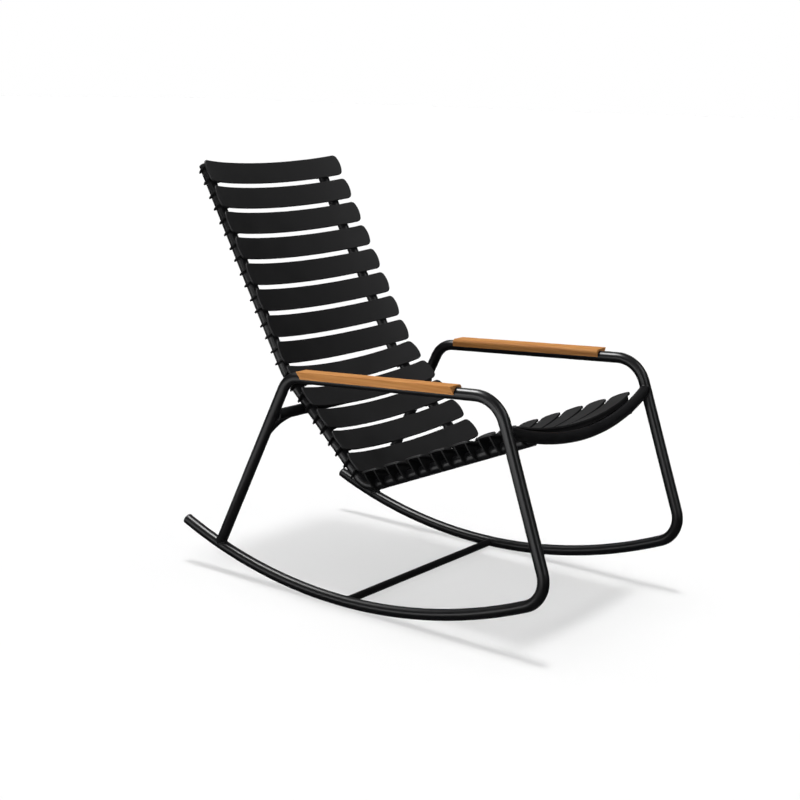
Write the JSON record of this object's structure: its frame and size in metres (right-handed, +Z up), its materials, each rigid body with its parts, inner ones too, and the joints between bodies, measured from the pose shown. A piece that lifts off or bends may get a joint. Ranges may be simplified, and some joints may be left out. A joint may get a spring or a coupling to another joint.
{
  "type": "rocking chair",
  "caption": "Rocking chair: bent-tube side frames on curved runners, bowed plastic slats hooked on bent rails for seat and back, and flat wooden caps on the arms.",
  "frame": {"origin": "on the floor, at the middle of the chair's overall width and depth", "axes": "+X to the sitter's left, +Y to the back, +Z up; the sitter faces -Y"},
  "size_m": [0.6284, 1.0336, 0.9396],
  "materials": {
    "black_coated_steel": "satin",
    "black_moulded_plastic": "matte",
    "bamboo": "satin",
    "plain_steel": "satin"
  },
  "bodies": {
    "root": {"side_frame_right": "black_coated_steel", "side_frame_left": "black_coated_steel", "stretcher_tube": "black_coated_steel", "front_bow_tube": "black_coated_steel", "seat_back_rail_right": "black_coated_steel", "seat_back_rail_left": "black_coated_steel", "rear_crossbar_tube": "black_coated_steel", "crossbar_brace_right": "black_coated_steel", "crossbar_brace_left": "black_coated_steel", "seat_slat_01": "black_moulded_plastic", "seat_slat_02": "black_moulded_plastic", "seat_slat_03": "black_moulded_plastic", "seat_slat_04": "black_moulded_plastic", "seat_slat_05": "black_moulded_plastic", "seat_slat_06": "black_moulded_plastic", "seat_slat_07": "black_moulded_plastic", "back_slat_01": "black_moulded_plastic", "back_slat_02": "black_moulded_plastic", "back_slat_03": "black_moulded_plastic", "back_slat_04": "black_moulded_plastic", "back_slat_05": "black_moulded_plastic", "back_slat_06": "black_moulded_plastic", "back_slat_07": "black_moulded_plastic", "back_slat_08": "black_moulded_plastic", "back_slat_09": "black_moulded_plastic", "back_slat_10": "black_moulded_plastic", "back_slat_11": "black_moulded_plastic", "back_slat_12": "black_moulded_plastic", "back_slat_13": "black_moulded_plastic", "runner_end_cap_right": "black_moulded_plastic", "runner_end_cap_left": "black_moulded_plastic", "rail_end_cap_right": "black_moulded_plastic", "rail_end_cap_left": "black_moulded_plastic", "armrest_right": "bamboo", "armrest_left": "bamboo", "armrest_screws": "plain_steel"}
  },
  "joints": []
}
